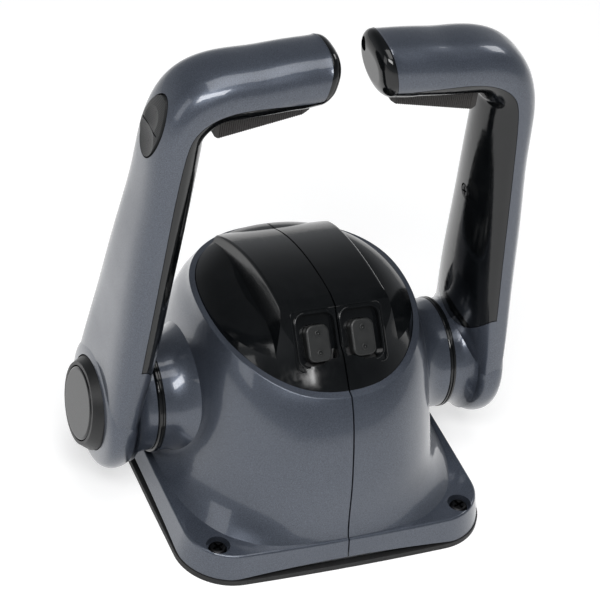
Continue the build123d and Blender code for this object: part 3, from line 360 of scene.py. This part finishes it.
def make_metal(name, dark, light, roughness, stretch):
    """Worked metal with its grain along one direction."""
    material, tree, shader = new_material(name, light, roughness, metallic=1.0)
    grain = noise(tree, METAL_GRAIN_MM, contrast=0.7, stretch=stretch)
    tone = two_colours(tree, ramp(tree, grain, 0.0, 1.0), dark, light)
    tree.links.new(tone, shader.inputs["Base Color"])
    smoothest, roughest = (roughness + change for change in METAL_SPREAD)
    tree.links.new(ramp(tree, grain, smoothest, roughest), shader.inputs["Roughness"])
    bump(tree, shader, grain, METAL_GRAIN_DEPTH_MM, strength=0.4)
    return material


turned_steel = make_metal(
    "turned_steel", (0.38, 0.38, 0.39), (0.56, 0.56, 0.57), 0.28, RINGS_ROUND_X)
brushed_plate = make_metal(
    "brushed_plate", (0.40, 0.41, 0.42), (0.58, 0.59, 0.60), 0.38, LINES_ALONG_Y)
cast_plate = make_metal("cast_plate", (0.34, 0.35, 0.36), (0.48, 0.49, 0.50), 0.55, EVEN)
black_oxide = make_metal("black_oxide", (0.012, 0.012, 0.013), (0.03, 0.03, 0.032), 0.34, EVEN)
metals = (turned_steel, brushed_plate, cast_plate, black_oxide)
print("made", ", ".join(material.name for material in metals))

# %% [markdown]
# ## Finishes on the solids
#
# Each solid keeps its mesh and only gets a better material in its slot. Naming a finish for every
# piece would list most of them twice, once for port and once for starboard. So the table goes from
# a piece's name without its side to its finish, and one loop does both sides.

# %% Finishes on the solids
FINISHES = {
    "base_gasket": gasket_rubber,
    "base_plate": cast_plate,
    "flange_screws": black_oxide,
    "mechanism_frame": brushed_plate,
    "frame_screws": black_oxide,
    "inner_bushes": bush_plastic,
    "outer_bushes": bush_plastic,
    "detent_plungers": turned_steel,
    "neutral_switches": switch_plastic,
    "friction_blocks": switch_plastic,
    "housing_shell": grey_paint,
    "top_cover": black_gloss,
    "switch_button": button_black,
    "switch_body": switch_plastic,
    "collar_ring": black_gloss,
    "pivot_shaft": turned_steel,
    "hub_bolt": turned_steel,
    "drive_plate": brushed_plate,
    "inner_cover": black_gloss,
    "cover_screw": black_oxide,
    "end_cap": black_gloss,
    "end_cap_screw": black_oxide,
    "lock_trigger": trigger_plastic,
    "trigger_pin": turned_steel,
    "lock_rod": turned_steel,
    "lever_arm": grey_paint,
    "pivot_ring": satin_black,
    "throttle_button": black_gloss,
    "button_spring": turned_steel,
    "hub_cap": satin_black,
    "trim_rocker": rocker_black,
    "trim_switch": switch_plastic,
}


def plain_name(node_name):
    """A node's name without its side."""
    for side in SIDES:
        if node_name.startswith(side + "_"):
            return node_name[len(side) + 1:]
    return node_name


for node_name, node in nodes.items():
    node.data.materials.clear()
    node.data.materials.append(FINISHES[plain_name(node_name)])
print("finished solids:", len(nodes))

# %% [markdown]
# ## A bar with changing sections
#
# The next pieces are long bars whose section changes on the way. A curve with a bevel keeps one
# section all along, so it can't make them. `extrude_along` starts from one closed section, fills
# it, and extrudes that face again and again; after each step the new corners move to the next
# section. Extruding keeps the rings of quads clean and the bar closed, and the face left inside by
# each step after the first is deleted.

# %% Extruding along sections
def extrude_along(form, sections):
    """A closed bar in a bmesh, extruded from each section to the next one."""
    ring = [form.verts.new(point) for point in sections[0]]
    end = bmesh.ops.contextual_create(form, geom=ring)["faces"][0]
    for step, (here, onward) in enumerate(zip(sections, sections[1:])):
        made = bmesh.ops.extrude_face_region(form, geom=[end])["geom"]
        if step > 0:
            bmesh.ops.delete(form, geom=[end], context="FACES_ONLY")
        end = next(item for item in made if isinstance(item, bmesh.types.BMFace))
        for corner in end.verts:
            nearest = min(range(len(here)), key=lambda k: (Vector(here[k]) - corner.co).length)
            corner.co = onward[nearest]
    bmesh.ops.recalc_face_normals(form, faces=form.faces)


def finished_piece(name, form, material, body):
    """An object from a bmesh, with its material, riding on a body of the frame."""
    mesh = bpy.data.meshes.new(name)
    form.to_mesh(mesh)
    form.free()
    mesh.materials.append(material)
    piece = bpy.data.objects.new(name, mesh)
    scene.collection.objects.link(piece)
    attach(piece, body)
    return piece


# %% [markdown]
# ## Ribbed trigger blades
#
# A finger pulls each trigger up, so its blade has fine ribs that run down the front, under the
# lower edge and up the back. A bump would show them on the faces, but not where the blade's edge
# stands against the light, so they are real shape. The sleeve follows the solid blade at a hair's
# distance. Its sections stand four to a rib, and two of every four stand proud: that in and out is
# the ribs. Sizes and places are in millimetres.

# %% Ribbed blades
RIB_PITCH = 1.1
SECTIONS_PER_RIB = 4
PROUD_SECTIONS = (1, 2)
RIB_HEIGHT = 0.36
SKIN = 0.06
BLADE_X = (19.0, 66.5)
BLADE_Y = (-20.5, -11.5)
BLADE_TOP_Z = 238.5
BLADE_EDGE = ((22.4, 232.12), (64.2, 223.66))
BLADE_EASE = 0.9
EASE_MIDDLE = 0.3


def blade_section(x, proud):
    """Eight points round the blade at one x, in millimetres."""
    (x0, z0), (x1, z1) = BLADE_EDGE
    edge_z = z0 + (z1 - z0) * (x - x0) / (x1 - x0) - proud
    front, back = BLADE_Y[0] - proud, BLADE_Y[1] + proud
    ease, part = BLADE_EASE, BLADE_EASE * EASE_MIDDLE
    return [
        (x, front, BLADE_TOP_Z), (x, front, edge_z + ease),
        (x, front + part, edge_z + part), (x, front + ease, edge_z),
        (x, back - ease, edge_z), (x, back - part, edge_z + part),
        (x, back, edge_z + ease), (x, back, BLADE_TOP_Z),
    ]


def make_blade_ribs(side, sign):
    """The ribbed sleeve of one trigger blade, placed over the solid blade."""
    low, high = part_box(f"{side}_lock_trigger")
    middle_x = (low.x + high.x) / 2 / MM
    shift = abs(middle_x) - sum(BLADE_X) / 2
    sections = []
    first_x, last_x = BLADE_EDGE[0][0], BLADE_EDGE[1][0]
    count = int((last_x - first_x) / RIB_PITCH)
    for step in range(SECTIONS_PER_RIB * count + 1):
        x = first_x + step * RIB_PITCH / SECTIONS_PER_RIB
        proud = SKIN + (RIB_HEIGHT if step % SECTIONS_PER_RIB in PROUD_SECTIONS else 0.0)
        section = blade_section(x, proud)
        sections.append([Vector((sign * (px + shift), py, pz)) * MM for px, py, pz in section])
    form = bmesh.new()
    extrude_along(form, sections)
    return finished_piece(f"{side}_trigger_ribs", form, trigger_plastic, f"{side}_trigger")


for side, sign in SIDES.items():
    ribs = make_blade_ribs(side, sign)
    print(ribs.name, "faces:", len(ribs.data.polygons))

# %% [markdown]
# ## Frame round the two wells
#
# A thin raised line frames both wells on the switch panel. It is moulded with the cover, whose two
# halves meet at the seam, so it comes in a port and a starboard half. A rounded square with its
# middle cut out would need the seam cut as well; a flat ribbon laid along half the outline stops at
# the seam by itself. The panel's plane is given by its lower and upper edge, and each point is
# placed from there: across, up the slope, and out. Sizes and places are in millimetres again.

# %% Panel frame
PANEL_LOW = Vector((0.0, -57.5, 100.0))
PANEL_HIGH = Vector((0.0, -36.8, 123.6))
FRAME_REACH = (24.7, 15.6)
FRAME_W = 0.8
FRAME_H = 0.4
FRAME_SINK = 0.3
FRAME_CORNER = 3.0
WALL_SHARE = 0.6
EASE_SHARE = 0.25
CORNER_STEPS = 6
SEAM_GAP = 0.4


def panel_point(across, along, out):
    """A place on the switch panel, in metres."""
    slope = (PANEL_HIGH - PANEL_LOW).normalized()
    normal = Vector((0.0, -slope.z, slope.y))
    middle = (PANEL_LOW + PANEL_HIGH) / 2
    return (middle + Vector((across, 0.0, 0.0)) + slope * along + normal * out) * MM


def frame_line(reach_x, reach_y, corner):
    """Half a rounded rectangle from the seam round to the seam again."""
    points = [(SEAM_GAP, -reach_y)]
    centre_x = reach_x - corner
    for centre_y, start in ((-reach_y + corner, -90), (reach_y - corner, 0)):
        for step in range(CORNER_STEPS + 1):
            angle = radians(start + 90 / CORNER_STEPS * step)
            points.append((centre_x + corner * cos(angle), centre_y + corner * sin(angle)))
    return points + [(SEAM_GAP, reach_y)]


def make_panel_frame(side, sign):
    """One half of the raised frame, a ribbon with a flat top and two side walls."""
    reach_x, reach_y = FRAME_REACH
    outer = frame_line(reach_x, reach_y, FRAME_CORNER)
    inner = frame_line(reach_x - FRAME_W, reach_y - FRAME_W, FRAME_CORNER - FRAME_W)
    wall_top = FRAME_H * WALL_SHARE
    far, near = 1.0 - EASE_SHARE, EASE_SHARE
    rows = []
    for (ox, oy), (ix, iy) in zip(outer, inner):
        section = [
            (ox, oy, -FRAME_SINK), (ox, oy, wall_top),
            (ox * far + ix * near, oy * far + iy * near, FRAME_H),
            (ox * near + ix * far, oy * near + iy * far, FRAME_H),
            (ix, iy, wall_top), (ix, iy, -FRAME_SINK),
        ]
        rows.append([panel_point(sign * x, y, z) for x, y, z in section])
    form = bmesh.new()
    extrude_along(form, rows)
    return finished_piece(f"{side}_panel_frame", form, black_gloss, "root")


for side, sign in SIDES.items():
    half = make_panel_frame(side, sign)
    print(half.name, "faces:", len(half.data.polygons))

# %% [markdown]
# ## Floor, background and light
#
# The control stands on a pale floor in a soft studio. More light would turn the floor white, but
# wash out the paint as well. So the floor is matte grey and takes a soft shadow, and a Light Path
# switch lets it also glow to the camera, in reflections and through glass, where it then looks
# nearly white. The glow lights nothing else.

# %% Floor
FLOOR_SIZE = 6.0
FLOOR_COLOUR = (0.55, 0.55, 0.55, 1.0)
FLOOR_GLOW = 0.62


def make_floor():
    """A wide pale floor that keeps the shadow."""
    mesh = bpy.data.meshes.new("floor")
    form = bmesh.new()
    bmesh.ops.create_grid(form, x_segments=1, y_segments=1, size=FLOOR_SIZE)
    form.to_mesh(mesh)
    form.free()
    floor = bpy.data.objects.new("floor", mesh)
    scene.collection.objects.link(floor)
    material = bpy.data.materials.new("pale_floor")
    material.use_nodes = True
    tree = material.node_tree
    tree.nodes.clear()
    out = tree.nodes.new("ShaderNodeOutputMaterial")
    matte = tree.nodes.new("ShaderNodeBsdfDiffuse")
    matte.inputs["Color"].default_value = FLOOR_COLOUR
    lit = tree.nodes.new("ShaderNodeEmission")
    lit.inputs["Color"].default_value = (1.0, 1.0, 1.0, 1.0)
    lit.inputs["Strength"].default_value = FLOOR_GLOW
    path = tree.nodes.new("ShaderNodeLightPath")
    seen = tree.nodes.new("ShaderNodeMath")
    seen.operation = "MAXIMUM"
    tree.links.new(path.outputs["Is Camera Ray"], seen.inputs[0])
    tree.links.new(path.outputs["Is Glossy Ray"], seen.inputs[1])
    through = tree.nodes.new("ShaderNodeMath")
    through.operation = "MAXIMUM"
    tree.links.new(seen.outputs[0], through.inputs[0])
    tree.links.new(path.outputs["Is Transmission Ray"], through.inputs[1])
    both = tree.nodes.new("ShaderNodeAddShader")
    tree.links.new(matte.outputs[0], both.inputs[0])
    tree.links.new(lit.outputs[0], both.inputs[1])
    pick = tree.nodes.new("ShaderNodeMixShader")
    tree.links.new(through.outputs[0], pick.inputs[0])
    tree.links.new(matte.outputs[0], pick.inputs[1])
    tree.links.new(both.outputs[0], pick.inputs[2])
    tree.links.new(pick.outputs[0], out.inputs["Surface"])
    mesh.materials.append(material)
    return floor


floor = make_floor()
floor_reach = max(corner.co.x for corner in floor.data.vertices)
print("made", floor.name, "reaching", round(floor_reach, 2), "m to each side")

# %% [markdown]
# A picture of a studio is the usual surround, but it needs a file. A plain gradient does here:
# brighter near the horizon, darker overhead. Gloss black needs something dark to reflect, or it
# turns grey, so the darkness overhead is what keeps it black.

# %% World
HORIZON_LIGHT = 0.40
ZENITH_LIGHT = 0.09
DARK_FROM = 0.7
SKY_COLOUR = (0.93, 0.96, 1.0, 1.0)


def make_world():
    """Soft studio surround, brighter at the horizon."""
    world = bpy.data.worlds.new("studio")
    world.use_nodes = True
    tree = world.node_tree
    background = tree.nodes["Background"]
    where = tree.nodes.new("ShaderNodeTexCoord")
    split = tree.nodes.new("ShaderNodeSeparateXYZ")
    tree.links.new(where.outputs["Generated"], split.inputs[0])
    height = tree.nodes.new("ShaderNodeMapRange")
    height.interpolation_type = "SMOOTHSTEP"
    height.inputs["From Min"].default_value = 0.0
    height.inputs["From Max"].default_value = DARK_FROM
    height.inputs["To Min"].default_value = HORIZON_LIGHT
    height.inputs["To Max"].default_value = ZENITH_LIGHT
    tree.links.new(split.outputs["Z"], height.inputs["Value"])
    tree.links.new(height.outputs["Result"], background.inputs["Strength"])
    background.inputs["Color"].default_value = SKY_COLOUR
    scene.world = world


make_world()
print("world light:", HORIZON_LIGHT, "at the horizon,", ZENITH_LIGHT, "overhead")

# %% [markdown]
# Four soft boxes: a long one over the front that draws the bright line along both grips, a weak
# one on the port side, one behind to starboard that picks out the far edges, and a wide one
# overhead that lifts the upper faces. Area lamps are chosen over a sun or points because the coat
# shows each lamp's shape, and a real studio's lamps are wide. Places and sizes are in metres, and
# powers in watts.

# %% Lamps
def soft_box(name, place_at, aim_at, width, depth, power):
    """A rectangular area lamp that looks at a point."""
    data = bpy.data.lights.new(name, "AREA")
    data.shape = "RECTANGLE"
    data.size, data.size_y = width, depth
    data.energy = power
    lamp = bpy.data.objects.new(name, data)
    turn = (Vector(aim_at) - Vector(place_at)).to_track_quat("-Z", "Y")
    lamp.matrix_world = Matrix.Translation(place_at) @ turn.to_matrix().to_4x4()
    scene.collection.objects.link(lamp)


MIDDLE = (0.0, 0.0, 0.13)
LAMPS = [
    ("front_box", (-0.35, -0.75, 1.15), 0.9, 0.35, 11.0),
    ("port_box", (-1.2, -0.2, 0.75), 0.5, 0.8, 1.8),
    ("back_box", (1.1, 0.5, 1.2), 0.4, 0.4, 2.5),
    ("top_box", (0.0, -0.1, 1.5), 0.9, 0.9, 7.0),
]
for name, place_at, width, depth, power in LAMPS:
    soft_box(name, place_at, MIDDLE, width, depth, power)
print("lamps:", len(LAMPS), "watts in all:", round(sum(lamp[-1] for lamp in LAMPS), 1))

# %% [markdown]
#
# The default view squeezes bright tones as film does, which greys a pale floor. Standard keeps
# each colour as it is written.

# %% Finish
scene.view_settings.view_transform = "Standard"
